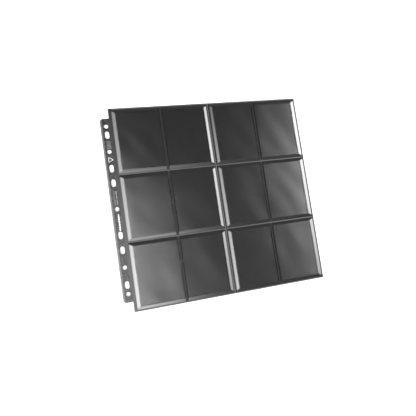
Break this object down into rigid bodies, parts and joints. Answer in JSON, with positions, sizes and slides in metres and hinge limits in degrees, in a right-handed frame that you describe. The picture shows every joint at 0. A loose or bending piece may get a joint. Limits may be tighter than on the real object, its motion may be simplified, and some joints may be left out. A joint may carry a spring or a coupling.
{
  "type": "album pocket page",
  "caption": "Double-sided black pocket page for a ring album: punched binding strip, clear side-loading film pockets on a black core sheet, and removable insert cards.",
  "frame": {"origin": "under the middle of the page with its strip, on the plane that the back films' flats rest on", "axes": "+X from the binding strip to the free edge, +Y towards the head of the page, +Z out of the front face"},
  "size_m": [0.3122, 0.292, 0.0045],
  "materials": {
    "strip": "fine pebble grain, satin, lighter along its thinned outer edge",
    "core": "smooth black sheet with a low sheen",
    "film": "clear glossy film, slightly wavy, whitish along its folds",
    "card": "smooth black insert sheet"
  },
  "bodies": {
    "strip": {"binding_strip": "strip"},
    "page": {"core_sheet": "core", "film_front_left": "film", "film_front_right": "film", "film_back_left": "film", "film_back_right": "film"},
    "card_front_r1c1": {"card_front_r1c1": "card"},
    "card_front_r1c2": {"card_front_r1c2": "card"},
    "card_front_r1c3": {"card_front_r1c3": "card"},
    "card_front_r1c4": {"card_front_r1c4": "card"},
    "card_front_r2c1": {"card_front_r2c1": "card"},
    "card_front_r2c2": {"card_front_r2c2": "card"},
    "card_front_r2c3": {"card_front_r2c3": "card"},
    "card_front_r2c4": {"card_front_r2c4": "card"},
    "card_front_r3c1": {"card_front_r3c1": "card"},
    "card_front_r3c2": {"card_front_r3c2": "card"},
    "card_front_r3c3": {"card_front_r3c3": "card"},
    "card_front_r3c4": {"card_front_r3c4": "card"},
    "card_back_r1c1": {"card_back_r1c1": "card"},
    "card_back_r1c2": {"card_back_r1c2": "card"},
    "card_back_r1c3": {"card_back_r1c3": "card"},
    "card_back_r1c4": {"card_back_r1c4": "card"},
    "card_back_r2c1": {"card_back_r2c1": "card"},
    "card_back_r2c2": {"card_back_r2c2": "card"},
    "card_back_r2c3": {"card_back_r2c3": "card"},
    "card_back_r2c4": {"card_back_r2c4": "card"},
    "card_back_r3c1": {"card_back_r3c1": "card"},
    "card_back_r3c2": {"card_back_r3c2": "card"},
    "card_back_r3c3": {"card_back_r3c3": "card"},
    "card_back_r3c4": {"card_back_r3c4": "card"}
  },
  "joints": [
    {"name": "page_turn", "type": "hinge", "parent": "strip", "child": "page", "pos_m": [-0.1438, 0, 0.00225], "axis": [0, -1, 0], "range_deg": [0, 150]},
    {"name": "slide_front_r1c1", "type": "slide", "parent": "page", "child": "card_front_r1c1", "axis": [1, 0, 0], "range_m": [-0.072, 0]},
    {"name": "slide_front_r1c2", "type": "slide", "parent": "page", "child": "card_front_r1c2", "axis": [1, 0, 0], "range_m": [0, 0.007]},
    {"name": "slide_front_r1c3", "type": "slide", "parent": "page", "child": "card_front_r1c3", "axis": [1, 0, 0], "range_m": [-0.007, 0]},
    {"name": "slide_front_r1c4", "type": "slide", "parent": "page", "child": "card_front_r1c4", "axis": [1, 0, 0], "range_m": [0, 0.072]},
    {"name": "slide_front_r2c1", "type": "slide", "parent": "page", "child": "card_front_r2c1", "axis": [1, 0, 0], "range_m": [-0.072, 0]},
    {"name": "slide_front_r2c2", "type": "slide", "parent": "page", "child": "card_front_r2c2", "axis": [1, 0, 0], "range_m": [0, 0.007]},
    {"name": "slide_front_r2c3", "type": "slide", "parent": "page", "child": "card_front_r2c3", "axis": [1, 0, 0], "range_m": [-0.007, 0]},
    {"name": "slide_front_r2c4", "type": "slide", "parent": "page", "child": "card_front_r2c4", "axis": [1, 0, 0], "range_m": [0, 0.072]},
    {"name": "slide_front_r3c1", "type": "slide", "parent": "page", "child": "card_front_r3c1", "axis": [1, 0, 0], "range_m": [-0.072, 0]},
    {"name": "slide_front_r3c2", "type": "slide", "parent": "page", "child": "card_front_r3c2", "axis": [1, 0, 0], "range_m": [0, 0.007]},
    {"name": "slide_front_r3c3", "type": "slide", "parent": "page", "child": "card_front_r3c3", "axis": [1, 0, 0], "range_m": [-0.007, 0]},
    {"name": "slide_front_r3c4", "type": "slide", "parent": "page", "child": "card_front_r3c4", "axis": [1, 0, 0], "range_m": [0, 0.072]},
    {"name": "slide_back_r1c1", "type": "slide", "parent": "page", "child": "card_back_r1c1", "axis": [1, 0, 0], "range_m": [-0.072, 0]},
    {"name": "slide_back_r1c2", "type": "slide", "parent": "page", "child": "card_back_r1c2", "axis": [1, 0, 0], "range_m": [0, 0.007]},
    {"name": "slide_back_r1c3", "type": "slide", "parent": "page", "child": "card_back_r1c3", "axis": [1, 0, 0], "range_m": [-0.007, 0]},
    {"name": "slide_back_r1c4", "type": "slide", "parent": "page", "child": "card_back_r1c4", "axis": [1, 0, 0], "range_m": [0, 0.072]},
    {"name": "slide_back_r2c1", "type": "slide", "parent": "page", "child": "card_back_r2c1", "axis": [1, 0, 0], "range_m": [-0.072, 0]},
    {"name": "slide_back_r2c2", "type": "slide", "parent": "page", "child": "card_back_r2c2", "axis": [1, 0, 0], "range_m": [0, 0.007]},
    {"name": "slide_back_r2c3", "type": "slide", "parent": "page", "child": "card_back_r2c3", "axis": [1, 0, 0], "range_m": [-0.007, 0]},
    {"name": "slide_back_r2c4", "type": "slide", "parent": "page", "child": "card_back_r2c4", "axis": [1, 0, 0], "range_m": [0, 0.072]},
    {"name": "slide_back_r3c1", "type": "slide", "parent": "page", "child": "card_back_r3c1", "axis": [1, 0, 0], "range_m": [-0.072, 0]},
    {"name": "slide_back_r3c2", "type": "slide", "parent": "page", "child": "card_back_r3c2", "axis": [1, 0, 0], "range_m": [0, 0.007]},
    {"name": "slide_back_r3c3", "type": "slide", "parent": "page", "child": "card_back_r3c3", "axis": [1, 0, 0], "range_m": [-0.007, 0]},
    {"name": "slide_back_r3c4", "type": "slide", "parent": "page", "child": "card_back_r3c4", "axis": [1, 0, 0], "range_m": [0, 0.072]}
  ]
}
